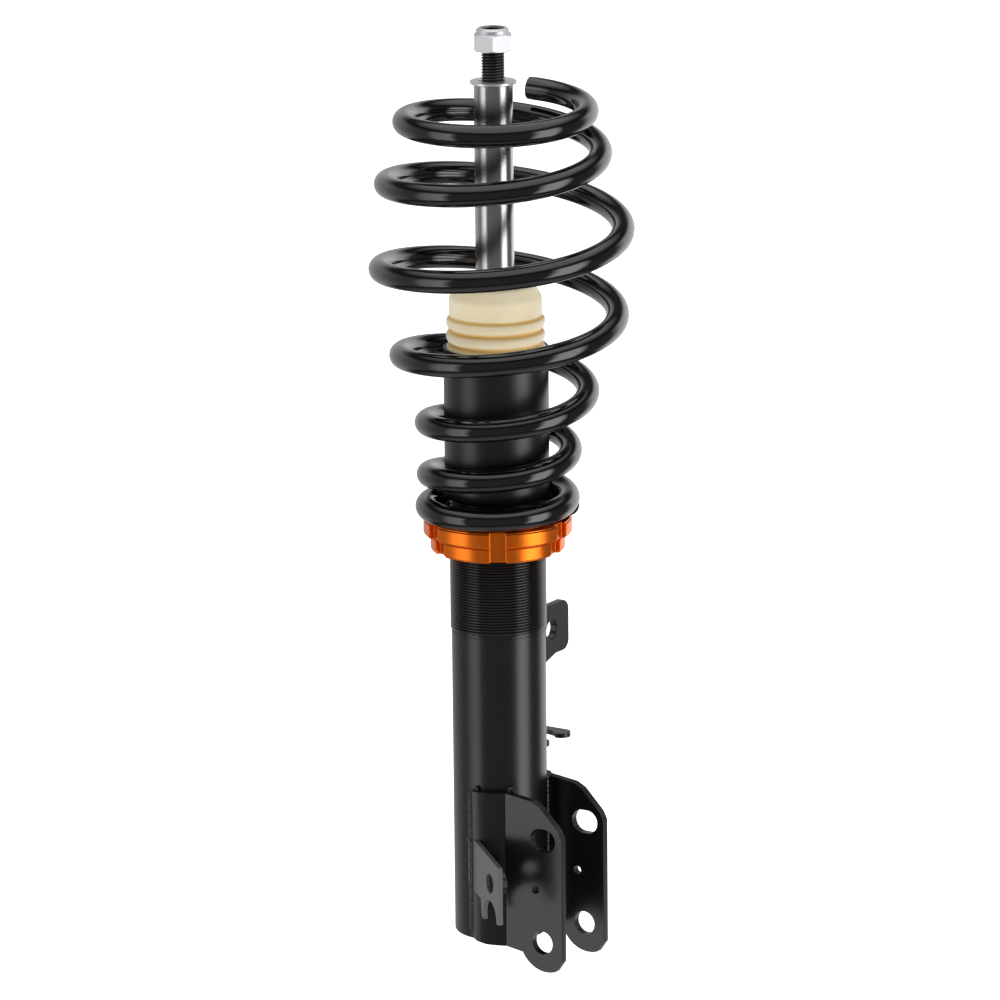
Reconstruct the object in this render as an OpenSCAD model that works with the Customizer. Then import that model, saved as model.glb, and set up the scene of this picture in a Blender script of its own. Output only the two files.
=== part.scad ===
// Front suspension coilover: a MacPherson strut with a threaded body, a barrel coil spring on a
// height collar and lock ring, and welded brackets for the knuckle, link rod, hose and sensor.
// The origin lies on the strut axis, on the top face of the stud washer, where a top mount sits.
// +Z runs up the rod, +X points to the wheel knuckle and +Y to the link rod tab.

/* [Strut tube] */
// Outside diameter of the plain tube
tube_d = 48.8; // [48:0.1:49.4]
// Wall of the plain tube
tube_wall = 2.1; // [1.8:0.1:2.4]
// Length of the tube from end to end
tube_len = 286; // [280:1:292]
// Outside diameter of the threaded stretch
thread_d = 50; // [49.6:0.1:50.4]
// Length of the threaded stretch below the tube's top end
thread_len = 122; // [116:1:126]
// Width of the relief groove cut where the thread runs out
relief_w = 1.6; // [1:0.1:2]

/* [Piston rod] */
// Diameter of the chromed rod
rod_d = 20; // [18:0.5:21]
// Rod showing between the washer and the tube's top end when fully extended
rod_show = 163.4; // [160:0.2:166]
// Diameter of the threaded stud on top of the rod
stud_d = 12; // [11:0.5:12]
// Length of the stud above the rod's shoulder
stud_len = 25.2; // [24:0.2:26]
// Edge chamfer on the rod's shoulder
rod_chamfer = 0.6; // [0.2:0.1:1]

/* [Top fasteners] */
// Diameter of the washer on the rod's shoulder
washer_d = 24; // [22:0.5:26]
// Thickness of that washer
washer_t = 1.2; // [1:0.1:1.6]
// Width of the lock nut across its flats
nut_flats = 19; // [18:0.5:19]
// Height of the lock nut's hexagon
nut_hex_h = 9; // [8:0.5:10]
// Height of the round collar above the hexagon
nut_collar_h = 2.8; // [2.6:0.1:3.4]
// Gap between the washer and the lock nut
nut_lift = 15.6; // [12:0.2:16]

/* [Damper] */
// Bore of the inner cylinder
bore_d = 32; // [31:0.5:33]
// Wall of the inner cylinder
bore_wall = 1.8; // [1.5:0.1:2]
// Height of the piston
piston_h = 16; // [14:0.5:18]
// Radial gap of the parts that run in or on each other
run_gap = 0.05; // [0.03:0.01:0.08]
// Height of the rod guide
guide_h = 16; // [14:1:18]
// Height of the oil seal
seal_h = 6; // [5:0.5:7]
// Height of the gland nut's threaded part
gland_h = 6; // [5:0.5:8]
// Thickness of the gland nut's flange on the tube's end
gland_flange_t = 3.6; // [3:0.2:4]
// Thickness of the base cap
base_t = 5; // [4:0.5:6]

/* [Bump stop] */
// Height of the bump stop
bump_h = 55; // [52:1:56]
// Diameter of its plain upper part
bump_d = 48; // [46:0.5:49]
// Diameter of its ribs
bump_rib_d = 51; // [50:0.2:51.2]
// Height of one rib
bump_rib_h = 7.2; // [6:0.2:8]

/* [Dust cover] */
// Outside diameter of the dust cover
cover_d = 54.1; // [53.8:0.1:54.6]
// Wall of the dust cover
cover_wall = 1.2; // [1:0.1:1.2]
// Height of the dust cover
cover_h = 78.8; // [74:0.2:80]
// Height of the turned-in lower lip
cover_lip_h = 4.7; // [3:0.1:6]

/* [Height collars] */
// Level of the face that the spring stands on, below the origin
seat_drop = 228.2; // [227:0.1:232]
// Diameter of the spring seat collar
seat_d = 76.9; // [74:0.1:80]
// Thickness of the spring seat collar
seat_t = 8.4; // [6:0.2:9]
// Diameter of the spigot that centres the spring
spigot_d = 58.4; // [57:0.2:60]
// Height of that spigot
spigot_h = 5.4; // [4:0.2:6]
// Diameter of the lock ring
lock_d = 69.6; // [66:0.1:72]
// Thickness of the lock ring
lock_t = 8.2; // [6:0.2:9]
// Number of spanner notches in each collar
notch_n = 6; // [4:1:8]
// Width of a spanner notch
notch_w = 8.4; // [6:0.2:10]
// Depth of a spanner notch
notch_depth = 3; // [2:0.2:4]

/* [Coil spring] */
// Diameter of the spring wire
wire_d = 12; // [11:0.5:12.5]
// Number of turns from tip to tip
turns = 7.2; // [7.2:0.1:7.4]
// Wire centreline radius of the turns on the seat
seat_turn_r = 36.8; // [36.6:0.1:38]
// Wire centreline radius at the belly
belly_turn_r = 63; // [56:0.5:66]
// Wire centreline radius of the top turn
top_turn_r = 46.7; // [44:0.5:50]
// How far the belly bows sideways, as on a side-load spring
side_bow = 3; // [0:0.5:4]
// How far the top turn stands off the axis, the same way
top_shift = 1.3; // [0:0.1:2]
// Lean of the working turns in degrees
turn_lean = 3.2; // [0:0.2:4]

/* [Knuckle clamp] */
// Thickness of the clamp plates
plate_t = 4.3; // [4:0.1:5]
// Clear gap between the two ears
ear_gap = 36.5; // [34:0.5:38]
// Distance from the strut axis to the ears' outer edge
ear_reach = 51.6; // [50:0.2:54]
// Level of the clamp's top edge, below the origin
clamp_drop = 369.3; // [367:0.1:371]
// Diameter of the lower bolt hole
bolt_hole_d = 12.4; // [12.2:0.1:13]
// Distance from the strut axis to the lower bolt
bolt_x = 39.7; // [39:0.1:41]
// Level of the lower bolt, below the origin
bolt_drop = 446.7; // [446:0.1:448]
// End-to-end length of the upper camber slot
slot_len = 15.4; // [13:0.1:16]
// Distance between the lower bolt and the upper slot
bolt_pitch = 55.3; // [54:0.1:57]
// Diameter of the small jig hole between the bolts
jig_hole_d = 4.5; // [4:0.5:5]

/* [Link rod tab] */
// Thickness of the tab
tab_t = 4.5; // [4:0.1:5]
// Distance from the strut axis to the tab's free edge
tab_reach = 64.4; // [62:0.2:66]
// Level of the tab's top edge, below the origin
tab_drop = 286.4; // [286:0.2:289]
// Height of the tab at its free end
tab_h = 27.2; // [24:0.2:28]
// Diameter of its hole
tab_hole_d = 10; // [10:0.1:10.5]
// Distance from the strut axis to that hole
tab_hole_y = 47.6; // [46:0.1:49]

/* [Hose and sensor brackets] */
// Thickness of the hose hook
hook_t = 2.5; // [2:0.1:3]
// Level of the hook's top face, below the origin
hook_drop = 355.6; // [353:0.2:358]
// Diameter of the hook's round seat for the hose
hook_seat_d = 18.6; // [17:0.2:19]
// Width of the hook's mouth
hook_mouth = 11.6; // [10:0.2:13]
// Thickness of the sensor bracket
sensor_t = 2.3; // [2:0.1:2.6]
// Reach of the sensor bracket from the clamp
sensor_reach = 36; // [34:0.5:37]
// Diameter of its hole
sensor_hole_d = 10.3; // [9:0.1:11]
// Diameter of the thread in its weld nut
sensor_thread_d = 8; // [6:1:8]

/* [Hidden] */
$fn = 96;
eps = 0.01;

tube_r = tube_d / 2;
tube_in_r = tube_r - tube_wall;
thread_r = thread_d / 2;
tube_top = -washer_t - rod_show;
tube_bottom = tube_top - tube_len;
rod_r = rod_d / 2;
bore_r = bore_d / 2;
cylinder_r = bore_r + bore_wall;

// Levels inside the tube, from the gland down
gland_bottom = tube_top - gland_h;
seal_bottom = gland_bottom - seal_h;
guide_bottom = seal_bottom - guide_h;
guide_step = 4;
cylinder_top = guide_bottom + guide_step;
rebound_gap = 0.5;
bumper_h = 5;
ring_h = 3;
shim_h = 2.4;
bumper_top = guide_bottom - rebound_gap;
ring_top = bumper_top - bumper_h;
shoulder_z = ring_top - ring_h;
piston_top = shoulder_z - shim_h;
piston_bottom = piston_top - piston_h;
piston_nut_h = 9;
tail_r = 6;
tail_end = piston_bottom - shim_h - piston_nut_h - 1.5;
valve_foot_h = 5;
cylinder_bottom = tube_bottom + base_t + valve_foot_h;

// Levels of the soft parts above the gland
bump_bottom = tube_top + gland_flange_t;
bump_top = bump_bottom + bump_h;
cover_r = cover_d / 2;
cover_top = bump_top - 32.2;
cover_bottom = cover_top - cover_h;

// Levels of the collars and the spring
seat_z = -seat_drop;
lock_gap = 0.3;
lock_top = seat_z - seat_t - lock_gap;
notch_turn = -57;
wire_r = wire_d / 2;
wire_sides = 14;
rings_per_turn = 30;
lean_toward = 143;
bow_toward = 33;
tip_turn = 29.3;
// Height gained per turn, against turns counted up from the lower tip
turn_pitch = [[0, 0], [0.6, 0], [1.2, 27], [2.2, 26.5], [3.2, 38], [4.2, 47], [5.2, 44],
    [6.2, 31], [6.7, 14], [7.2, 4]];

// Outline of the knuckle clamp
wrap_r = tube_r + plate_t;
ear_in_y = ear_gap / 2;
wrap_from = 53;
wrap_to = 87.6;
clamp_bottom_z = tube_bottom - 0.3;
bolt_z = -bolt_drop;
slot_x = bolt_x + 0.6;
slot_z = bolt_z + bolt_pitch;
lobe_r = 16.2;
lobe_x = bolt_x + 2.3;

// Sensor bracket: its plane leaves the clamp's edge and turns towards the wheel
sensor_turn = -36;
sensor_foot = [1.4, -28.4];
sensor_hole = [23.1, -412.4];
weld_nut_r = 6.6;
weld_nut_h = 5.2;

// A rod of round section standing on z
module post(r, z, h) {
    translate([0, 0, z]) cylinder(r = r, h = h);
}

// A ring or sleeve with a plain bore, standing on z
module sleeve(r_out, r_in, z, h) {
    difference() {
        post(r_out, z, h);
        post(r_in, z - 1, h + 2);
    }
}

// A flat shape stood up in the XZ plane and given a thickness along Y from y on
module upright_xz(y, t) {
    translate([0, y + t, 0]) rotate([90, 0, 0]) linear_extrude(t) children();
}

// A flat shape stood up in the YZ plane and given a thickness along X, centred on it
module upright_yz(t) {
    rotate([90, 0, 90]) translate([0, 0, -t / 2]) linear_extrude(t) children();
}

// Strut tube and base ------------------------------------------------------------------

module outer_tube() {
    edge = 1;
    color("#17181a") difference() {
        union() {
            translate([0, 0, tube_bottom]) cylinder(r1 = tube_r - edge, r2 = tube_r, h = edge);
            post(tube_r, tube_bottom + edge, tube_len - edge);
            post(thread_r, tube_top - thread_len, thread_len - 1);
            translate([0, 0, tube_top - 1]) cylinder(r1 = thread_r, r2 = thread_r - 1, h = 1);
        }
        post(tube_in_r, tube_bottom - 1, tube_len + 2);
        sleeve(thread_r + 1, tube_r - 0.3, tube_top - thread_len - relief_w, relief_w);
    }
}

module base_cap() {
    lip_h = 3;
    color("#17181a") difference() {
        post(tube_in_r, tube_bottom, base_t);
        translate([0, 0, tube_bottom - 1]) cylinder(r = tube_in_r - 3, h = 1 + lip_h - 1.4);
    }
}

// Brackets -----------------------------------------------------------------------------

// Section of one clamp plate: an arc round the tube, then a straight ear along +X
module clamp_section() {
    far = 60;
    difference() {
        union() {
            intersection() {
                circle(r = wrap_r);
                polygon([[0, 0], far * [cos(wrap_from), sin(wrap_from)],
                    far * [cos(70), sin(70)], far * [cos(wrap_to), sin(wrap_to)]]);
            }
            translate([14, ear_in_y]) square([ear_reach - 14, plate_t]);
        }
        circle(r = tube_r);
    }
}

// Side outline of a clamp plate: sloping shoulder, straight edge and rounded heel
module clamp_outline() {
    top = -clamp_drop;
    low = clamp_bottom_z;
    polygon([[-2, top], [17, top], [ear_reach - 18, top - 2], [ear_reach - 13, top - 4.6],
        [ear_reach - 2.2, top - 15.6], [ear_reach, top - 20], [ear_reach, bolt_z],
        [30, bolt_z], [27.7, low - 2.6], [17, low - 1], [8, low - 0.3], [3, low + 0.9],
        [1.4, low + 2.2], [-2, low + 4]]);
}

// The round lobe round the lower bolt, clipped by the ear's edge and its small bevel
module clamp_lobe() {
    heel = 5.5;
    low = bolt_z + 0.6 - lobe_r;
    intersection() {
        translate([lobe_x, 60, bolt_z + 0.6]) rotate([90, 0, 0]) cylinder(r = lobe_r, h = 60);
        upright_xz(0, 60) polygon([[0, low - 1], [ear_reach - heel, low - 1],
            [ear_reach, low + heel + 1.4], [ear_reach, bolt_z + lobe_r], [0, bolt_z + lobe_r]]);
    }
}

// The lower bolt hole, the upper camber slot and the jig hole, bored along Y
module clamp_bores() {
    slide = slot_len - bolt_hole_d;
    translate([0, 60, 0]) rotate([90, 0, 0]) {
        translate([bolt_x, bolt_z, 0]) cylinder(d = bolt_hole_d, h = 120);
        translate([slot_x - slide / 2, slot_z, 0]) cylinder(d = bolt_hole_d, h = 120);
        translate([slot_x + slide / 2, slot_z, 0]) cylinder(d = bolt_hole_d, h = 120);
        translate([slot_x - slide / 2, slot_z - bolt_hole_d / 2, 0])
            cube([slide, bolt_hole_d, 120]);
        translate([bolt_x - 4.1, bolt_z + 28.2, 0]) cylinder(d = jig_hole_d, h = 120);
    }
}

module clamp_plate() {
    color("#1a1b1d") difference() {
        intersection() {
            translate([0, 0, bolt_z - 40]) linear_extrude(160) clamp_section();
            union() {
                upright_xz(0, 60) clamp_outline();
                clamp_lobe();
            }
        }
        clamp_bores();
    }
}

module clamp_plate_rear() {
    clamp_plate();
}

// The front plate has a slot that the sensor bracket is let into and welded round
module clamp_plate_front() {
    color("#1a1b1d") difference() {
        mirror([0, 1, 0]) clamp_plate();
        sensor_blank();
    }
}

module link_tab() {
    corner = 5.5;
    top = -tab_drop;
    low = top - tab_h;
    color("#202124") difference() {
        union() {
            upright_yz(tab_t) polygon([[20, top], [tab_reach - corner, top],
                [tab_reach - corner, low], [tab_hole_y + 3.8, low], [20, low - 10]]);
            upright_yz(tab_t) translate([tab_reach - 2 * corner, low + corner])
                square([2 * corner, tab_h - 2 * corner]);
            for (z = [top - corner, low + corner]) translate([-tab_t / 2, tab_reach - corner, z])
                rotate([0, 90, 0]) cylinder(r = corner, h = tab_t);
        }
        translate([-tab_t, tab_hole_y, (top + low) / 2]) rotate([0, 90, 0])
            cylinder(d = tab_hole_d, h = 2 * tab_t);
        post(tube_r, low - 20, tab_h + 40);
    }
}

module hose_hook() {
    seat_x = -2.6;
    seat_y = 40.4;
    back_x = -17;
    tip_r = 4.9;
    tip_y = seat_y + hook_mouth / 2 + tip_r;
    tip_x = 5.4;
    heel_x = 10.4;
    color("#202124") translate([0, 0, -hook_drop - hook_t]) linear_extrude(hook_t) difference() {
        union() {
            translate([back_x + 6, 20]) square([heel_x - back_x - 10, tip_y + tip_r - 20 - 6]);
            translate([back_x, 20]) square([10, tip_y + tip_r - 26]);
            translate([back_x + 6, seat_y]) square([tip_x - back_x - 6, tip_y + tip_r - seat_y]);
            translate([back_x + 6, tip_y + tip_r - 6]) circle(r = 6);
            translate([tip_x, tip_y]) circle(r = tip_r);
            translate([heel_x - 4, 20]) square([4, seat_y - hook_mouth / 2 - 20 - 4]);
            translate([heel_x - 4, seat_y - hook_mouth / 2 - 4]) circle(r = 4);
        }
        translate([seat_x, seat_y]) circle(d = hook_seat_d);
        translate([seat_x, seat_y - hook_mouth / 2]) square([40, hook_mouth]);
        circle(r = tube_r);
    }
}

// Places a flat shape, drawn as reach against level, on the sensor bracket's plane
module on_sensor_plane() {
    translate([sensor_foot[0], sensor_foot[1], 0]) rotate([0, 0, sensor_turn])
        rotate([90, 0, 0]) children();
}

module sensor_outline() {
    top = sensor_hole[1] + 17.5;
    low = sensor_hole[1] - 19;
    fork = [22.9, low + 0.4];
    difference() {
        polygon([[-8, top], [0, top], [sensor_reach, top - 5.9], [sensor_reach, low],
            [12.6, low - 3], [10.8, low - 1.5], [9.6, top - 29.2], [-3.8, top - 27.4],
            [-8, top - 24]]);
        translate(fork) circle(r = 9.3);
        translate([fork[0] - 8.8, fork[1] - 12]) square([17.6, 12]);
        translate(sensor_hole) circle(d = sensor_hole_d);
    }
}

// The sensor bracket's plate before it is trimmed to the tube
module sensor_blank() {
    on_sensor_plane() translate([0, 0, -sensor_t]) linear_extrude(sensor_t) sensor_outline();
}

module sensor_bracket() {
    color("#3a3b40") difference() {
        sensor_blank();
        post(tube_r, sensor_hole[1] - 40, 80);
    }
}

module weld_nut() {
    color("#202124") on_sensor_plane()
        translate([sensor_hole[0], sensor_hole[1], -sensor_t - weld_nut_h]) difference() {
            cylinder(r = weld_nut_r, h = weld_nut_h);
            translate([0, 0, -1]) cylinder(d = sensor_thread_d, h = weld_nut_h + 2);
        }
}

// Damper -------------------------------------------------------------------------------

module inner_cylinder() {
    color("#8d9196") sleeve(cylinder_r, bore_r, cylinder_bottom, cylinder_top - cylinder_bottom);
}

module base_valve_body() {
    plug_h = 6;
    port_r = 1.5;
    color("#7c8086") difference() {
        union() {
            post(cylinder_r, cylinder_bottom - valve_foot_h, valve_foot_h);
            post(bore_r, cylinder_bottom, plug_h);
        }
        post(cylinder_r - 5, cylinder_bottom - valve_foot_h - 1, valve_foot_h - 1);
        for (turn = [0:60:300]) rotate([0, 0, turn]) translate([9, 0, 0])
            post(port_r, cylinder_bottom - valve_foot_h, valve_foot_h + plug_h + 2);
        for (turn = [30:120:270]) rotate([0, 0, turn])
            translate([cylinder_r - 6, -3, cylinder_bottom - valve_foot_h - 1])
                cube([8, 6, 3.5]);
        post(2.5, cylinder_bottom - valve_foot_h, valve_foot_h + plug_h + 2);
    }
}

module base_valve_disc() {
    color("#b9bcc2") sleeve(12.5, 2.5, cylinder_bottom + 6, 0.8);
}

module base_valve_rivet() {
    color("#9a9da3") {
        post(2.5, cylinder_bottom - 2, 8.8);
        post(5, cylinder_bottom + 6.8, 2);
        post(4, cylinder_bottom - 3.4, 1.4 + eps);
    }
}

module rod_guide() {
    bush_r = rod_r + 1.2;
    color("#8d9196") difference() {
        union() {
            post(tube_in_r, cylinder_top, guide_h - guide_step);
            post(bore_r, guide_bottom, guide_step);
        }
        post(bush_r, guide_bottom - 1, guide_h + 2);
    }
}

module rod_bush() {
    color("#b98a4a") sleeve(rod_r + 1.2, rod_r + run_gap, guide_bottom + 1, guide_h - 2);
}

module oil_seal() {
    lip_r = rod_r + run_gap;
    color("#202020") difference() {
        post(tube_in_r, seal_bottom, seal_h);
        post(lip_r + 1.6, seal_bottom - 1, seal_h - 1);
        post(lip_r, seal_bottom, seal_h + 1);
        translate([0, 0, seal_bottom + 4.4]) cylinder(r1 = lip_r, r2 = lip_r + 2, h = seal_h);
    }
}

module gland_nut() {
    wiper_r = rod_r + 3.2;
    color("#26272a") difference() {
        union() {
            post(tube_in_r, gland_bottom, gland_h);
            post(thread_r - 1.2, tube_top, gland_flange_t);
        }
        post(rod_r + 0.6, gland_bottom - 1, gland_h + gland_flange_t + 2);
        post(wiper_r, tube_top - 1, gland_flange_t + 2);
        for (turn = [45:90:315]) rotate([0, 0, turn]) translate([18.5, 0, 0])
            post(2, tube_top + 0.6, gland_flange_t);
    }
}

module wiper_seal() {
    color("#141414") difference() {
        post(rod_r + 3.2, tube_top - 1, gland_flange_t + 1);
        post(rod_r + run_gap, tube_top - 2, gland_flange_t + 4);
        translate([0, 0, tube_top + gland_flange_t - 1.2])
            cylinder(r1 = rod_r + run_gap, r2 = rod_r + 2, h = 1.3);
    }
}

// Bump stop and dust cover -------------------------------------------------------------

module bump_stop() {
    groove = 1.6;
    rib_r = bump_rib_d / 2;
    neck_r = rib_r - 1.5;
    rib_top = bump_top - 16.2;
    steps = [for (k = [0:2]) rib_top - k * bump_rib_h];
    color("#efe2c3") rotate_extrude() polygon(concat(
        [[rod_r + 0.3, bump_bottom], [rod_r + 0.3, bump_top], [20, bump_top],
            [bump_d / 2, bump_top - 6], [bump_d / 2, rib_top + 1]],
        [for (z = steps) for (p = [[neck_r, z], [rib_r - 0.4, z - 1.2], [rib_r - 0.4,
            z - bump_rib_h + groove], [neck_r, z - bump_rib_h + 0.4]]) p],
        [[neck_r - 1, rib_top - 3 * bump_rib_h - 1], [19, bump_bottom]]));
}

module dust_cover() {
    in_r = cover_r - cover_wall;
    lip_in_r = thread_r + 0.3;
    color("#1c1d1f") rotate_extrude() polygon([
        [in_r, cover_top], [cover_r, cover_top], [cover_r, cover_bottom + cover_lip_h],
        [lip_in_r + cover_wall, cover_bottom + 0.8], [lip_in_r + cover_wall - 0.4, cover_bottom],
        [lip_in_r, cover_bottom], [lip_in_r, cover_bottom + 1],
        [in_r, cover_bottom + cover_lip_h]]);
}

// Rod and piston -----------------------------------------------------------------------

module piston_rod() {
    color("#c9ccd0") {
        post(stud_d / 2, -washer_t - eps, stud_len - 1 + eps);
        translate([0, 0, stud_len - 1 - washer_t])
            cylinder(r1 = stud_d / 2, r2 = stud_d / 2 - 1, h = 1);
        translate([0, 0, -washer_t - rod_chamfer])
            cylinder(r1 = rod_r, r2 = rod_r - rod_chamfer, h = rod_chamfer);
        post(rod_r, shoulder_z, -washer_t - rod_chamfer - shoulder_z);
        post(tail_r, tail_end, shoulder_z - tail_end + eps);
    }
}

module top_washer() {
    notch_to = stud_d / 2 + 1.4;
    color("#d6d8db") difference() {
        sleeve(washer_d / 2, stud_d / 2 + 0.2, -washer_t, washer_t);
        rotate([0, 0, 208]) translate([0, -1.2, -washer_t - 1]) cube([notch_to, 2.4, washer_t + 2]);
    }
}

module lock_nut() {
    hex_r = nut_flats / sqrt(3);
    ring_r = nut_flats / 2 - 0.4;
    color("#d6d8db") difference() {
        union() {
            intersection() {
                rotate([0, 0, notch_turn]) translate([0, 0, nut_lift])
                    cylinder(r = hex_r, h = nut_hex_h, $fn = 6);
                union() {
                    translate([0, 0, nut_lift])
                        cylinder(r1 = ring_r, r2 = hex_r + 0.2, h = 1.2);
                    post(hex_r + 0.2, nut_lift + 1.2, nut_hex_h - 2.4);
                    translate([0, 0, nut_lift + nut_hex_h - 1.2])
                        cylinder(r1 = hex_r + 0.2, r2 = ring_r, h = 1.2);
                }
            }
            post(ring_r - 0.6, nut_lift + nut_hex_h - eps, nut_collar_h - 1);
            translate([0, 0, nut_lift + nut_hex_h + nut_collar_h - 1 - 2 * eps])
                cylinder(r1 = ring_r - 0.6, r2 = ring_r - 1.6, h = 1);
        }
        post(stud_d / 2, nut_lift - 1, nut_hex_h + 8);
        post(ring_r - 1.9, nut_lift + nut_hex_h - 0.6, nut_collar_h - 0.4);
    }
}

module nut_insert() {
    ring_r = nut_flats / 2 - 0.4;
    color("#eceae4") sleeve(ring_r - 1.9, stud_d / 2, nut_lift + nut_hex_h - 0.6,
        nut_collar_h - 0.4);
}

module rebound_ring() {
    color("#6f7378") sleeve(14.5, rod_r, shoulder_z, ring_h);
}

module rebound_bumper() {
    color("#2a2a2a") difference() {
        post(14, ring_top, bumper_h);
        post(rod_r, ring_top - 1, bumper_h + 2);
    }
}

module piston() {
    ring_h = 8;
    color("#8d9196") difference() {
        post(bore_r - 0.5, piston_bottom, piston_h);
        post(tail_r, piston_bottom - 1, piston_h + 2);
        sleeve(bore_r + 1, bore_r - 1.4, piston_bottom + (piston_h - ring_h) / 2, ring_h);
        for (turn = [0:60:300]) rotate([0, 0, turn]) translate([10.4, 0, 0])
            post(1.4, piston_bottom - 1, piston_h + 2);
    }
}

module piston_band() {
    color("#4a3b2a") sleeve(bore_r - run_gap, bore_r - 1.4 + run_gap,
        piston_bottom + (piston_h - 8) / 2 + 0.1, 7.8);
}

module compression_shims() {
    color("#b9bcc2") for (step = [0, 1])
        sleeve(9 + 3.6 * step, tail_r, shoulder_z - (step + 1) * shim_h / 2, shim_h / 2);
}

module rebound_shims() {
    color("#b9bcc2") for (step = [0, 1])
        sleeve(12.6 - 3.6 * step, tail_r, piston_bottom - (step + 1) * shim_h / 2, shim_h / 2);
}

module piston_nut() {
    color("#9a9da3") difference() {
        translate([0, 0, piston_bottom - shim_h - piston_nut_h])
            cylinder(r = 10, h = piston_nut_h, $fn = 6);
        post(tail_r, tail_end, 30);
    }
}

// Spring and collars -------------------------------------------------------------------

function unit(v) = v / norm(v);
function eased(x) = let (c = min(1, max(0, x))) c * c * (3 - 2 * c);

// Centreline radius after n turns from the lower tip: seat turns, belly, then the top turn
function turn_r(n) = n < 4.75
    ? seat_turn_r + (belly_turn_r - seat_turn_r) * eased((n - 2.1) / 2.5)
    : belly_turn_r - (belly_turn_r - top_turn_r) * eased((n - 4.85) / 1.95);

ring_n = round(turns * rings_per_turn);
// Level of every ring of the wire before the turns lean, summed from the pitch
ring_z = [for (i = 0, z = seat_z + wire_r; i <= ring_n;
    z = z + lookup((i + 0.5) / rings_per_turn, turn_pitch) / rings_per_turn, i = i + 1) z];

// Centre of ring i of the wire
function wire_at(i) = let (
    n = i / rings_per_turn,
    turn = tip_turn + 360 * n,
    r = turn_r(n),
    climb = (ring_z[i] - ring_z[0]) / (ring_z[ring_n] - ring_z[0]),
    bow = side_bow * sin(180 * climb) + top_shift * climb
) [
    r * cos(turn) + bow * cos(bow_toward),
    r * sin(turn) + bow * sin(bow_toward),
    ring_z[i] + r * tan(turn_lean) * cos(turn - lean_toward) * eased(n - 1)
];

function wire_ring(i) = let (
    along = unit(wire_at(min(i + 1, ring_n)) - wire_at(max(i - 1, 0))),
    up = unit(cross(along, [cos(tip_turn + 360 * i / rings_per_turn),
        sin(tip_turn + 360 * i / rings_per_turn), 0])),
    out = cross(up, along)
) [for (k = [0:wire_sides - 1])
    wire_at(i) + wire_r * (cos(360 * k / wire_sides) * out + sin(360 * k / wire_sides) * up)];

module coil_spring() {
    last = ring_n * wire_sides;
    color("#111214") polyhedron(
        points = [for (i = [0:ring_n]) each wire_ring(i)],
        faces = concat(
            [[for (k = [0:wire_sides - 1]) k]],
            [for (i = [0:ring_n - 1]) for (k = [0:wire_sides - 1]) let (
                a = i * wire_sides + k,
                b = i * wire_sides + (k + 1) % wire_sides
            ) each [[a, a + wire_sides, b + wire_sides], [a, b + wire_sides, b]]],
            [[for (k = [wire_sides - 1:-1:0]) last + k]]));
}

module notches(r, z, h) {
    for (k = [0:notch_n - 1]) rotate([0, 0, notch_turn + k * 360 / notch_n])
        translate([r - notch_depth, -notch_w / 2, z - 1]) cube([notch_depth + 5, notch_w, h + 2]);
}

module spring_seat() {
    edge = 0.8;
    color("#e8751a") difference() {
        union() {
            post(seat_d / 2 - edge, seat_z - seat_t, seat_t);
            post(seat_d / 2, seat_z - seat_t + edge, seat_t - 2 * edge);
            post(spigot_d / 2, seat_z - eps, spigot_h + eps);
        }
        post(thread_r + 0.06, seat_z - seat_t - 1, seat_t + spigot_h + 2);
        post(thread_r + 1.4, seat_z + 2, spigot_h);
        notches(seat_d / 2, seat_z - seat_t, seat_t);
    }
}

module lock_ring() {
    edge = 0.8;
    color("#e8751a") difference() {
        union() {
            post(lock_d / 2 - edge, lock_top - lock_t, lock_t);
            post(lock_d / 2, lock_top - lock_t + edge, lock_t - 2 * edge);
        }
        post(thread_r + 0.06, lock_top - lock_t - 1, lock_t + 2);
        notches(lock_d / 2, lock_top - lock_t, lock_t);
    }
}

outer_tube();
base_cap();
clamp_plate_front();
clamp_plate_rear();
link_tab();
hose_hook();
sensor_bracket();
weld_nut();
inner_cylinder();
base_valve_body();
base_valve_disc();
base_valve_rivet();
rod_guide();
rod_bush();
oil_seal();
gland_nut();
wiper_seal();
bump_stop();
dust_cover();
piston_rod();
top_washer();
lock_nut();
nut_insert();
rebound_ring();
rebound_bumper();
piston();
compression_shims();
rebound_shims();
piston_nut();
piston_band();
coil_spring();
spring_seat();
lock_ring();
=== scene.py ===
"""Finish and lighting of a front suspension coilover strut.

The pieces come in the order in which the strut is put together.
"""
import bmesh
import bpy
import math
import numpy as np
from mathutils import Matrix, Vector


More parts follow.
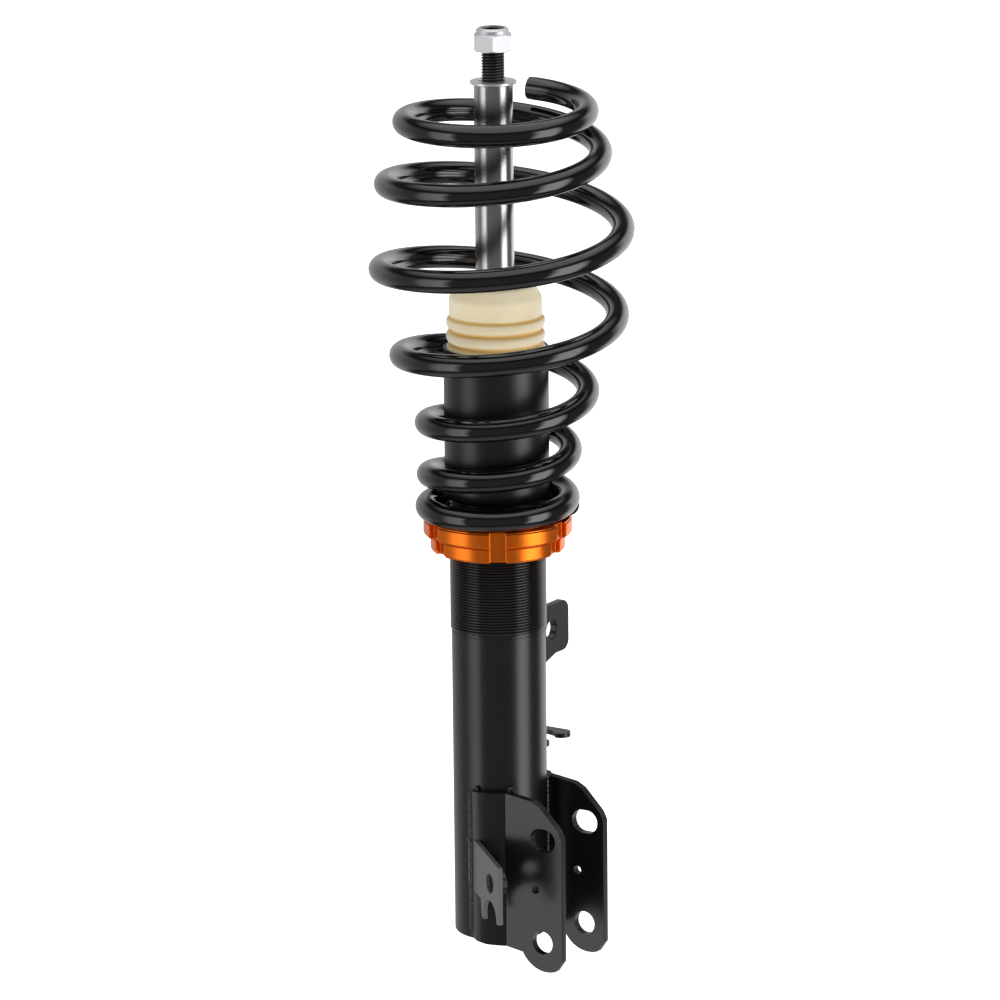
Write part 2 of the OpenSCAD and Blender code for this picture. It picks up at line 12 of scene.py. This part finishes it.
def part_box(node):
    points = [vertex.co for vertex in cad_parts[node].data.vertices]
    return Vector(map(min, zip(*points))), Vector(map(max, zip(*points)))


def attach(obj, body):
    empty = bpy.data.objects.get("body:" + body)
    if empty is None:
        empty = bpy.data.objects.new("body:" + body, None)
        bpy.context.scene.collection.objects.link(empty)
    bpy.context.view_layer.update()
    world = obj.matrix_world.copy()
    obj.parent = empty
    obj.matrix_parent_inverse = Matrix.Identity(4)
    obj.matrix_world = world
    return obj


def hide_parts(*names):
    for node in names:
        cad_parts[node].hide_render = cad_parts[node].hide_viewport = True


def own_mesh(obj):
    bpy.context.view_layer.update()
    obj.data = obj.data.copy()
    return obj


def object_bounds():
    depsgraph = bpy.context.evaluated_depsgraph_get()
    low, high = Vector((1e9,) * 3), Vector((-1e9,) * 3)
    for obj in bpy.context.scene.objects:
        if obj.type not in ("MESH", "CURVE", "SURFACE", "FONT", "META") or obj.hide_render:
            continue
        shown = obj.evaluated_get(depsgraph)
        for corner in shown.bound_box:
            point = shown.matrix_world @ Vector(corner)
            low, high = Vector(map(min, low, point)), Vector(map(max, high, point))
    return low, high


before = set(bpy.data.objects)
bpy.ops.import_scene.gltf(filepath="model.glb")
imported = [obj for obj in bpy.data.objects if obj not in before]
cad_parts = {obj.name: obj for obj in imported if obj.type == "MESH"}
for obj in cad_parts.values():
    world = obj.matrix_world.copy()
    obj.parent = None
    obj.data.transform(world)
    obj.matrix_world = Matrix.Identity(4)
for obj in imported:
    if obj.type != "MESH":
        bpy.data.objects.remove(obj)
cad_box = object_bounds()

# Strut tube ---------------------------------------------------------------------------
# The real piece is a drawn steel tube, turned down at the bottom, with a thread rolled on
# its upper part and a relief groove where the thread runs out. It is powder coated black.


class Socket:
    """A shader socket that adds Math nodes when it is summed, multiplied or compared."""

    def __init__(self, tree, output=None):
        self.tree = tree
        self.output = output

    def node(self, kind, settings=None, inputs=None, out=0):
        """Any other node, from its type, its settings and the values or links of its sockets."""
        made = self.tree.nodes.new("ShaderNode" + kind)
        for key, value in (settings or {}).items():
            if key == "stops":
                marks = made.color_ramp.elements
                marks[0].position, marks[1].position = value[0][0], value[-1][0]
                for place, _ in value[1:-1]:
                    marks.new(place)
                for mark, (_, tone) in zip(marks, value):
                    mark.color = (tone, tone, tone, 1)
            else:
                setattr(made, key, value)
        for key, value in (inputs or {}).items():
            if isinstance(value, Socket):
                self.tree.links.new(value.output, made.inputs[key])
            else:
                made.inputs[key].default_value = value
        return Socket(self.tree, made.outputs[out])

    def maths(self, operation, *values):
        """A Math node from its operation and its values in order."""
        return self.node("Math", {"operation": operation}, dict(enumerate(values)))

    def __add__(self, other):
        return self.maths("ADD", self, other)

    def __radd__(self, other):
        return self.maths("ADD", other, self)

    def __sub__(self, other):
        return self.maths("SUBTRACT", self, other)

    def __rsub__(self, other):
        return self.maths("SUBTRACT", other, self)

    def __mul__(self, other):
        return self.maths("MULTIPLY", self, other)

    def __rmul__(self, other):
        return self.maths("MULTIPLY", other, self)

    def __truediv__(self, other):
        return self.maths("DIVIDE", self, other)

    def __lt__(self, other):
        return self.maths("LESS_THAN", self, other)

    def noise(self, place, scale, detail):
        """Cloudy noise from 0 to 1, scale blotches to the metre."""
        return self.node("TexNoise", {}, {"Vector": place, "Scale": scale, "Detail": detail})

    def ramp(self, *stops):
        """Grey levels along a ramp, from pairs of a place and a level."""
        return self.node("ValToRGB", {"stops": stops}, {"Fac": self})

    def axes(self):
        """The three parts of a vector socket."""
        split = self.node("SeparateXYZ", {}, {0: self})
        return [Socket(self.tree, part) for part in split.output.node.outputs]

    def mix(self, tone_a, tone_b):
        """Blends two colours by this socket, 0 giving the first."""
        tones = [t if isinstance(t, Socket) else (*t, 1) for t in (tone_a, tone_b)]
        return self.node("Mix", {"data_type": "RGBA"}, {0: self, 6: tones[0], 7: tones[1]}, 2)


def new_finish(name, **constants):
    """A material, its first socket, its shader and the object's own coordinates."""
    made = bpy.data.materials.new(name)
    made.use_nodes = True
    shader = made.node_tree.nodes["Principled BSDF"]
    for key, value in constants.items():
        shader.inputs[key.replace("_", " ")].default_value = value
    start = Socket(made.node_tree)
    return made, start, shader, start.node("TexCoord", out=3)


def feed(start, shader, height=None, depth=0.0, **links):
    """Links sockets to the shader, and a height in metres to its normal."""
    for key, value in links.items():
        start.tree.links.new(value.output, shader.inputs[key.replace("_", " ")])
    if height is not None:
        bump = start.node("Bump", {}, {"Height": height, "Distance": depth, "Strength": 1.0})
        start.tree.links.new(bump.output, shader.inputs["Normal"])


def coated(name, tone, rough, peel=900, depth=0.00002, coat=0.0, wear=0.06):
    """Paint or powder coat: orange peel in the film, dull and clear patches, fine dust."""
    made, start, shader, place = new_finish(name, Coat_Weight=coat, Coat_Roughness=0.04)
    skin = start.noise(place, peel, 2)
    patches = start.noise(place, 38, 4)
    dust = start.noise(place, 2600, 1)
    light = tuple(min(1, t * 1.5 + 0.001) for t in tone)
    feed(start, shader, skin, depth, Base_Color=(patches * 0.6 + dust * 0.3).mix(tone, light),
         Roughness=rough + (patches - 0.5) * wear + (dust - 0.5) * 0.05)
    return made


def solid(name, points, body, material, sharp=38):
    """A closed mesh over a grid of points[u, v], with doubles merged and faces outward."""
    rows, cols = points.shape[:2]
    u, v = np.meshgrid(np.arange(rows - 1), np.arange(cols - 1), indexing="ij")
    corner = (u * cols + v).ravel()
    faces = np.stack([corner, corner + cols, corner + cols + 1, corner + 1], 1)
    mesh = bpy.data.meshes.new(name)
    mesh.from_pydata(points.reshape(-1, 3), [], faces.tolist())
    welded = bmesh.new()
    welded.from_mesh(mesh)
    bmesh.ops.remove_doubles(welded, verts=welded.verts, dist=2e-7)
    bmesh.ops.dissolve_degenerate(welded, edges=welded.edges, dist=1e-8)
    bmesh.ops.delete(welded, geom=[edge for edge in welded.edges if not edge.link_faces],
                     context="EDGES")
    bmesh.ops.recalc_face_normals(welded, faces=welded.faces)
    welded.to_mesh(mesh)
    welded.free()
    mesh.shade_smooth()
    mesh.set_sharp_from_angle(angle=math.radians(sharp))
    mesh.materials.append(material)
    made = bpy.data.objects.new(name, mesh)
    bpy.context.collection.objects.link(made)
    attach(made, body)
    return made


def turned(corners, steps=160):
    """Grid of a closed section (radius, height, rounding) in mm, carried once round the axis.

    Each corner is cut back along both sides by its rounding and joined by a smooth curve.
    """
    ends = np.array([(r, z) for r, z, _ in corners], float)
    cut = np.array([c for _, _, c in corners], float)[:, None]
    before, after = np.roll(ends, 1, 0) - ends, np.roll(ends, -1, 0) - ends
    a = ends + before / np.linalg.norm(before, axis=1, keepdims=True) * cut
    b = ends + after / np.linalg.norm(after, axis=1, keepdims=True) * cut
    t = np.linspace(0, 1, 6)[None, :, None]
    curve = (1 - t) ** 2 * a[:, None] + 2 * t * (1 - t) * ends[:, None] + t ** 2 * b[:, None]
    section = curve.reshape(-1, 2) / 1000
    section = np.vstack([section, section[:1]])
    turn = np.linspace(0, 2 * math.pi, steps + 1)
    return np.stack([section[:, None, 0] * np.cos(turn), section[:, None, 0] * np.sin(turn),
                     np.repeat(section[:, 1:], steps + 1, 1)], -1)


def threaded(radius, inner, low, high, depth, pitch=1.5, steps=96, per_pitch=8):
    """Grid of a thread: rows follow the helix, and every row has one radius.

    The height is the row's own plus a pitch for each turn, held between the two ends; the
    radius drops by the depth times a rounded ridge wave that fades out at both ends.
    """
    turn = np.linspace(0, 1, steps + 1)
    row = np.arange(-per_pitch, int((high - low) / pitch * per_pitch) + per_pitch + 1)
    height = low + (row[:, None] / per_pitch + turn[None]) * pitch
    fade = np.clip(np.minimum(height - low, high - height) / pitch, 0, 1)
    wave = 0.5 - 0.5 * np.cos(2 * math.pi * row / per_pitch)
    wall = radius - depth * (wave ** 1.8)[:, None] * fade
    height = np.clip(height, low, high)
    wall = np.vstack([np.full((1, steps + 1), inner), wall, np.full((1, steps + 1), inner)])
    height = np.vstack([np.full((1, steps + 1), low), height, np.full((1, steps + 1), high)])
    wall, height = np.vstack([wall, wall[:1]]), np.vstack([height, height[:1]])
    angle = 2 * math.pi * turn
    return np.stack([wall * np.cos(angle), wall * np.sin(angle), height], -1) / 1000


tube_paint = coated("tube_black", (0.0035, 0.0036, 0.004), 0.27, peel=700, depth=0.000012)
plain_tube = solid("tube_body", turned([
    (22.3, -450.6, 0.3), (24.4, -450.6, 1.2), (24.4, -288.2, 0.1), (24.1, -288.1, 0.05),
    (24.1, -286.7, 0.05), (22.3, -286.6, 0.05)]), "strut", tube_paint)
thread_paint = coated("thread_black", (0.0035, 0.0036, 0.004), 0.15, depth=0.000006)
body_thread = solid("tube_thread", threaded(25.0, 22.3, -286.6, -164.6, 0.7), "strut",
                    thread_paint, sharp=60)
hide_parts("outer_tube")


def refinish(material, *nodes):
    """Gives a CAD piece its finish, in every material slot of its object."""
    for node in nodes:
        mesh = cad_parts[node].data
        for index in range(len(mesh.materials)):
            mesh.materials[index] = material
        if not len(mesh.materials):
            mesh.materials.append(material)


# The real cap is a steel pressing, pushed into the tube's end and welded round its lip,
# and it takes the same powder coat as the tube.
refinish(tube_paint, "base_cap")

# Knuckle clamp ------------------------------------------------------------------------
# The real clamp is two plates of 4.3 mm steel, pressed to hug the tube and to leave two
# ears for the knuckle. Their blanked edges are softened by the press and the powder coat.


def softened(node, name, body, material, width, angle=34):
    """A merged copy of a CAD piece with its sharp edges rounded over by width metres."""
    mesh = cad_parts[node].data.copy()
    mesh.name = name
    welded = bmesh.new()
    welded.from_mesh(mesh)
    bmesh.ops.remove_doubles(welded, verts=welded.verts, dist=4e-6)
    bmesh.ops.dissolve_limit(welded, angle_limit=math.radians(1.0), verts=welded.verts,
                             edges=welded.edges)
    bmesh.ops.recalc_face_normals(welded, faces=welded.faces)
    welded.to_mesh(mesh)
    welded.free()
    mesh.shade_smooth()
    mesh.set_sharp_from_angle(angle=math.radians(angle))
    mesh.materials.clear()
    mesh.materials.append(material)
    made = bpy.data.objects.new(name, mesh)
    bpy.context.collection.objects.link(made)
    rounding = made.modifiers.new("rounding", "BEVEL")
    rounding.width = width
    rounding.segments = 3
    rounding.limit_method = "ANGLE"
    rounding.angle_limit = math.radians(angle)
    rounding.harden_normals = True
    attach(made, body)
    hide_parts(node)


bracket_paint = coated("bracket_black", (0.004, 0.0042, 0.0046), 0.25, peel=520, depth=0.000016)
for side in ("front", "rear"):
    softened("clamp_plate_" + side, side + "_clamp", "strut", bracket_paint, 0.0007)

# Weld beads ---------------------------------------------------------------------------
# The real beads are laid by a robot along the edges of each bracket, with a small ripple
# for every step of the torch. They are coated over with the rest of the strut.


def weld_bead(name, path, radius, ripple=1.7, sides=14):
    """A closed bead carried along a path of points in mm.

    The radius swells by a sixth at every ripple, wanders slowly by a sixteenth, and falls
    to nothing in a quarter circle at each end.
    """
    path = np.array(path, float)
    along = np.concatenate([[0], np.cumsum(np.linalg.norm(np.diff(path, axis=0), axis=1))])
    count = max(16, int(along[-1] / ripple * 7))
    step = along[-1] * 0.5 * (1 - np.cos(np.linspace(0, math.pi, count)))
    line = np.stack([np.interp(step, along, path[:, k]) for k in range(3)], 1)
    ahead = np.gradient(line, axis=0)
    ahead /= np.linalg.norm(ahead, axis=1, keepdims=True)
    side = np.cross(ahead, np.where(abs(ahead[:, 2:]) > 0.8, [[1.0, 0, 0]], [[0, 0, 1.0]]))
    side /= np.linalg.norm(side, axis=1, keepdims=True)
    rise = np.cross(side, ahead)
    close = np.minimum(step, along[-1] - step) / radius
    swell = (1 + 0.17 * abs(np.sin(math.pi * step / ripple)) + 0.06 * np.sin(step * 0.9)
             ) * np.sqrt(np.clip(close * (2 - np.minimum(close, 1)), 0, 1))
    turn = np.linspace(0, 2 * math.pi, sides + 1)[None, :, None]
    ring = line[:, None] + radius * swell[:, None, None] * (
        np.cos(turn) * side[:, None] + np.sin(turn) * rise[:, None])
    bead = solid(name, ring / 1000, "strut", bracket_paint, sharp=80)


def round_tube(angle_from, angle_to, level, radius=24.7, count=24):
    """Points round the tube between two angles in degrees, at one level or climbing."""
    angle = np.radians(np.linspace(angle_from, angle_to, count))
    return np.stack([radius * np.cos(angle), radius * np.sin(angle),
                     np.linspace(*level, count) if isinstance(level, tuple)
                     else np.full(count, level)], 1)


# Where a plate's long edge meets the tube, and where its ear leaves the tube, in mm
plate_edge = (0.0, 26.0)
ear_root = (17.3, 16.9)
for side, name in ((-1, "front"), (1, "rear")):
    weld_bead(name + "_edge_weld", [(plate_edge[0], side * plate_edge[1], z) for z in
                                    np.linspace(-369, -446, 60)], 2.3, 2.4)
    weld_bead(name + "_top_weld", round_tube(side * 48, side * 39, (-369.4, -368.2), 25.2), 1.9)
    weld_bead(name + "_high_weld", round_tube(side * 89, side * 83, -368.9, 25.6), 1.8)
    weld_bead(name + "_ear_weld", [(ear_root[0], side * ear_root[1], z) for z in
                                   np.linspace(-366.4, -418, 40)], 2.3, 2.5)

# Link tab, hose hook and sensor bracket -----------------------------------------------
# The real brackets are blanked from steel sheet between 2.3 and 4.5 mm thick and welded on.
# The sensor bracket carries a small round nut welded behind its hole.
softened("link_tab", "stabiliser_tab", "strut", bracket_paint, 0.0006)
softened("hose_hook", "brake_hose_hook", "strut", bracket_paint, 0.0005)
# A lighter black than the other brackets: painted sheen standing in for the light its face
# catches
sensor_sheen_paint = coated("sensor_plate_painted_sheen", (0.060, 0.056, 0.063), 0.40, peel=700)
softened("sensor_bracket", "sensor_fork", "strut", sensor_sheen_paint, 0.0004)
softened("weld_nut", "sensor_nut", "strut", bracket_paint, 0.0005)
for side in (-1, 1):
    weld_bead("tab_weld_%d" % (side + 2), [(side * 2.9, 24.8, z) for z in
                                           np.linspace(-289, -318, 30)], 1.4)
weld_bead("hook_weld", round_tube(64, 116, -358.6, 24.9), 1.5)
weld_bead("sensor_weld", [(-3.5 + 0.26 * k, -25.0 - 0.18 * k, -396.0) for k in range(20)],
          1.5)

# Cylinder and foot valve --------------------------------------------------------------
# The real cylinder is a honed steel tube standing on a sintered valve body. A spring steel
# disc covers the ports, and a rivet holds it. None of it is seen once the strut is closed.


def machined(name, tone, rough, spacing=0.35, depth=0.000004):
    """Turned or ground metal: fine rings round the axis, spacing in mm, and faint stains."""
    made, start, shader, place = new_finish(name, Metallic=1.0)
    wander = start.noise(place, 60, 2) * 5
    rings = start.maths("SINE", place.axes()[2] * (2000 * math.pi / spacing) + wander)
    stains = start.noise(place, 55, 4)
    dark = tuple(t * 0.72 for t in tone)
    feed(start, shader, rings, depth, Base_Color=stains.mix(dark, tone),
         Roughness=rough + (stains - 0.5) * 0.14)
    return made


bare_steel = machined("bare_steel", (0.56, 0.57, 0.58), 0.30)
sintered = coated("sintered_iron", (0.20, 0.20, 0.21), 0.58, peel=1800, depth=0.00004)
refinish(bare_steel, "inner_cylinder", "base_valve_disc", "base_valve_rivet",
         "compression_shims", "rebound_shims", "rebound_ring")
refinish(sintered, "base_valve_body", "piston", "rod_guide")

# Rod guide, seals and gland nut -------------------------------------------------------
# The real guide is sintered iron with a bronze bush; the seals are moulded rubber, and the
# gland nut is black oxide steel screwed in to hold them. The dust cover hides them all.
bronze = machined("bronze", (0.62, 0.40, 0.17), 0.33)
rubber = coated("seal_rubber", (0.016, 0.016, 0.016), 0.62, peel=1400, depth=0.00002)
black_oxide = machined("black_oxide", (0.045, 0.047, 0.052), 0.38)
refinish(bronze, "rod_bush")
refinish(rubber, "oil_seal", "wiper_seal", "rebound_bumper")
refinish(black_oxide, "gland_nut", "piston_nut")
refinish(coated("band_plastic", (0.09, 0.06, 0.035), 0.5, peel=1500), "piston_band")

# Piston rod and stud ------------------------------------------------------------------
# The real rod is hard chromed and ground, 20 mm across, with a shouldered M12 x 1.5 stud
# rolled on its end. The stud is left in dark phosphate.
chrome = machined("hard_chrome", (0.50, 0.495, 0.51), 0.20, spacing=0.22, depth=0.0000012)
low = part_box("piston_rod")[0][2] * 1000
rod = solid("chromed_rod", turned([
    (0, low, 0), (6, low, 0.8), (6, -201.1, 0), (10, -201.1, 0.2), (10, -1.2, 0.9),
    (0, -1.2, 0)], 192), "rod", chrome)
phosphate = machined("stud_phosphate", (0.10, 0.10, 0.11), 0.36)
stud = solid("rod_stud", threaded(6.0, 0, -1.2, 24.0, 0.92, steps=72, per_pitch=12), "rod",
             phosphate, sharp=60)
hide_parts("piston_rod")

# Dust cover ---------------------------------------------------------------------------
# The real cover is a thin sleeve of black nylon, blow moulded, with its lower edge turned
# in to clip round the tube. Its skin is satin with a faint draw grain.
cover_skin = coated("cover_plastic", (0.004, 0.0042, 0.0046), 0.34, peel=420, depth=0.000014)
cover = solid("dust_sleeve", turned([
    (25.85, -138.2, 0.3), (27.05, -138.2, 0.4), (27.05, -212.3, 1.6), (26.5, -216.2, 0.2),
    (26.1, -217.0, 0.15), (25.3, -217.0, 0.15), (25.3, -216.0, 0.2), (25.85, -212.3, 1.2)]),
    "strut", cover_skin)
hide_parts("dust_cover")

# Bump stop ----------------------------------------------------------------------------
# The real stop is microcellular polyurethane foam, cream when new, with amber painted into
# the grooves of its ribs as painted shade. It slides on the rod above the cover.
foam, start, shader, place = new_finish(
    "cream_elastomer", Subsurface_Weight=0.22, Subsurface_Scale=0.004, Roughness=0.5,
    Coat_Weight=0.18, Coat_Roughness=0.24)
across, deep, height = place.axes()
radius = start.maths("SQRT", across * across + deep * deep)
# The grooves between the ribs, where the amber painted shade goes
groove_shade_mask = radius.node("MapRange", {}, {"Value": radius, "From Min": 0.0252, "From Max": 0.0242})
ribbed = height < -0.121
cells = start.noise(place, 1500, 2)
mottle = start.noise(place, 60, 3)
# Amber painted shade fills the grooves of the ribbed part, over the cream and its mottle
feed(start, shader, cells, 0.00003,
     Base_Color=(groove_shade_mask * ribbed * 0.8).mix(mottle.mix((0.90, 0.76, 0.50), (0.97, 0.86, 0.63)),
                                            (0.84, 0.52, 0.13)),
     Roughness=0.42 + mottle * 0.16)
top, rib_top = -106.0, -122.2
ribs = [(10.3, -161.0, 0.6), (10.3, top, 0.6), (20.0, top, 1.2), (24.0, top - 6, 1.8),
        (24.0, rib_top + 0.6, 0.9), (23.6, rib_top - 0.1, 0.2)]
for rib in range(3):
    start_z = rib_top - 7.2 * rib
    ribs += [(25.5, start_z - 1.1, 1.0), (25.5, start_z - 4.6, 1.7), (23.3, start_z - 6.7, 0.5)]
ribs += [(22.8, rib_top - 23.0, 0.8), (19.0, -161.0, 0.8)]
stop = solid("foam_stop", turned(ribs, 192), "strut", foam, sharp=75)
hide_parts("bump_stop")

# Height collars -----------------------------------------------------------------------
# The real seat and lock ring are turned from aluminium bar, with milled spanner notches,
# and anodised orange. Turning marks show on their faces, and the notch edges are broken.
anodised, start, shader, place = new_finish("orange_anodised", Metallic=0.85)
across, deep, height = place.axes()
reach = start.maths("SQRT", across * across + deep * deep)
lines = start.maths("SINE", (reach + height) * 15000)
tint = start.noise(place, 70, 3)
feed(start, shader, lines, 0.0000025,
     Base_Color=tint.mix((0.78, 0.135, 0.006), (0.88, 0.20, 0.012)),
     Roughness=0.20 + tint * 0.10)
softened("spring_seat", "height_seat", "seat", anodised, 0.0004)
softened("lock_ring", "height_lock", "lock", anodised, 0.0004)

# Coil spring --------------------------------------------------------------------------
# The real spring is 12 mm chrome silicon wire, cold wound into a barrel, shot peened and
# coated in gloss black. Its ends are cropped square and its lower turns lie on the seat.
gloss_black = coated("spring_black", (0.0018, 0.0019, 0.0021), 0.09, peel=240, depth=0.000004,
                     coat=0.35, wear=0.03)


def eased(x):
    """Rises from 0 to 1 as three squares less two cubes."""
    held = np.clip(x, 0, 1)
    return held * held * (3 - 2 * held)


wire = 6.0
seat_face = -228.2
turns = 7.2
per_turn = 90
lean = math.tan(math.radians(3.2))
count = round(turns * per_turn)
turn = np.arange(count + 1) / per_turn
pitch = np.interp(turn[:-1] + 0.5 / per_turn, [0, 0.6, 1.2, 2.2, 3.2, 4.2, 5.2, 6.2, 6.7, 7.2],
                  [0, 0, 27, 26.5, 38, 47, 44, 31, 14, 4])
level = seat_face + wire + np.concatenate([[0], np.cumsum(pitch) / per_turn])
angle = np.radians(29.3 + 360 * turn)
# The round wire runs 0.3 mm inside the solid's chords, and clear of its neighbours by 0.03
coil_radius = np.where(turn < 4.75, 36.8 + 26.2 * eased((turn - 2.1) / 2.5),
                       63 - 16.3 * eased((turn - 4.85) / 1.95)) - 0.3
climb = (level - level[0]) / (level[-1] - level[0])
bow = 3 * np.sin(math.pi * climb) + 1.3 * climb
toward = math.radians(33)
centre = np.stack([coil_radius * np.cos(angle) + bow * math.cos(toward),
                   coil_radius * np.sin(angle) + bow * math.sin(toward),
                   level + coil_radius * lean * np.cos(angle - math.radians(143))
                   * eased(turn - 1)], 1)
ahead = np.gradient(centre, axis=0)
ahead /= np.linalg.norm(ahead, axis=1, keepdims=True)
outward = np.stack([np.cos(angle), np.sin(angle), 0 * angle], 1)
upward = np.cross(ahead, outward)
upward /= np.linalg.norm(upward, axis=1, keepdims=True)
outward = np.cross(upward, ahead)
wire_radius = np.full(count + 1, wire - 0.03)
wire_radius[[0, -1]] -= 0.2
# Each end is closed by a ring of no size
pick = np.concatenate([[0], np.arange(count + 1), [count]])
wire_radius = np.concatenate([[0], wire_radius, [0]])
around = np.linspace(0, 2 * math.pi, 29)[None, :, None]
coil = solid("coil_wire", (centre[pick][:, None] + wire_radius[:, None, None] * (
    np.cos(around) * outward[pick][:, None] + np.sin(around) * upward[pick][:, None])) / 1000,
    "spring", gloss_black, sharp=50)
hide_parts("coil_spring")
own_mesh(coil)

# Top washer and lock nut --------------------------------------------------------------
# The real washer is a plain pressed ring, and the nut a nylon insert lock nut, 19 mm across
# its flats. Both are bright zinc plated steel, and the insert is white nylon.
zinc = coated("bright_zinc", (0.60, 0.605, 0.62), 0.54, peel=800, depth=0.000012, wear=0.12)
pale_zinc = coated("washer_zinc", (0.74, 0.75, 0.77), 0.40, peel=800, depth=0.000012)
for plated in (zinc, pale_zinc):
    plated.node_tree.nodes["Principled BSDF"].inputs["Metallic"].default_value = 1.0
nylon = coated("white_nylon", (0.80, 0.79, 0.75), 0.44, peel=1100, depth=0.00002)
softened("top_washer", "stud_washer", "rod", pale_zinc, 0.00015)
softened("lock_nut", "stud_nut", "rod", zinc, 0.0004, angle=28)
softened("nut_insert", "stud_nut_ring", "rod", nylon, 0.0002)

# Studio -------------------------------------------------------------------------------
# The strut hangs over a plain pale floor. Tall soft panels stand on both sides of it, dark
# cloth faces it from the front, and a broad panel hangs overhead.
floor_drop = 0.45
floor_reach = 30
floor_level = cad_box[0][2] - floor_drop
floor_mesh = bpy.data.meshes.new("floor")
floor_mesh.from_pydata([(x * floor_reach, y * floor_reach, floor_level) for x, y in
                        ((-1, -1), (1, -1), (1, 1), (-1, 1))], [], [(0, 1, 2, 3)])
floor = bpy.data.objects.new("floor", floor_mesh)
bpy.context.collection.objects.link(floor)
floor.visible_glossy = False
pale, start, shader, place = new_finish("pale_floor", Roughness=0.9, Emission_Strength=0.95)
shader.inputs["Emission Color"].default_value = (1, 1, 1, 1)
feed(start, shader, Base_Color=start.noise(place, 3, 2).mix((0.80, 0.80, 0.80),
                                                           (0.84, 0.84, 0.84)))
floor_mesh.materials.append(pale)

azimuth, elevation, roll = math.radians(33.05), math.radians(14.0), math.radians(0.586)
world = bpy.data.worlds.new("studio")
bpy.context.scene.world = world
world.use_nodes = True
start = Socket(world.node_tree)
east, north, height = start.node("TexCoord").axes()
bearing = start.maths("ARCTAN2", east * math.cos(azimuth) + north * math.sin(azimuth),
                      east * math.sin(azimuth) - north * math.cos(azimuth)
                      ) / (2 * math.pi) + 0.5
climb_up = start.maths("ARCSINE", height) / math.pi + 0.5


def bearings(*stops):
    """Ramp stops from bearings in degrees, measured from the front, right positive."""
    return [(0.5 + degrees / 360, tone) for degrees, tone in stops]


panels = bearing.ramp(*bearings(
    (-180, 0.16), (-130, 0.20), (-100, 0.10), (-84, 0.10), (-74, 0.46), (-54, 0.72),
    (-46, 0.06), (40, 0.05), (50, 1.2), (70, 1.1), (80, 0.03), (112, 0.04), (128, 0.50),
    (150, 0.42), (180, 0.16)))
tall = climb_up.ramp((0.0, 0.0), (0.28, 0.0), (0.33, 1.0), (0.60, 1.0), (0.66, 0.0), (1.0, 0.0))
overhead = climb_up.ramp((0.0, 0.17), (0.16, 0.17), (0.26, 0.02), (0.70, 0.02), (0.80, 0.46),
                         (1.0, 0.46))
glow = panels * tall + overhead
seen = start.node("LightPath")
background = world.node_tree.nodes["Background"]
background.inputs["Color"].default_value = (1, 1, 1, 1)
start.tree.links.new((seen + (1 - seen) * glow * 2.9).output, background.inputs["Strength"])

camera_distance = 3.494
focal_length = 243.65
aim_level = -0.2198
aim_right = 0.00133
back = Vector((math.sin(azimuth) * math.cos(elevation),
               -math.cos(azimuth) * math.cos(elevation), math.sin(elevation)))
side_on = Vector((math.cos(azimuth), math.sin(azimuth), 0))
upright = back.cross(side_on)
right = side_on * math.cos(roll) - upright * math.sin(roll)
up = upright * math.cos(roll) + side_on * math.sin(roll)
lens = bpy.data.cameras.new("camera")
lens.lens = focal_length
lens.sensor_width = 36
lens.clip_end = 80
camera = bpy.data.objects.new("camera", lens)
bpy.context.collection.objects.link(camera)
camera.matrix_world = Matrix.Translation(
    Vector((0, 0, aim_level)) + back * camera_distance + right * aim_right) @ Matrix(
    (right, up, back)).transposed().to_4x4()
bpy.context.scene.camera = camera
bpy.context.scene.view_settings.view_transform = "Standard"
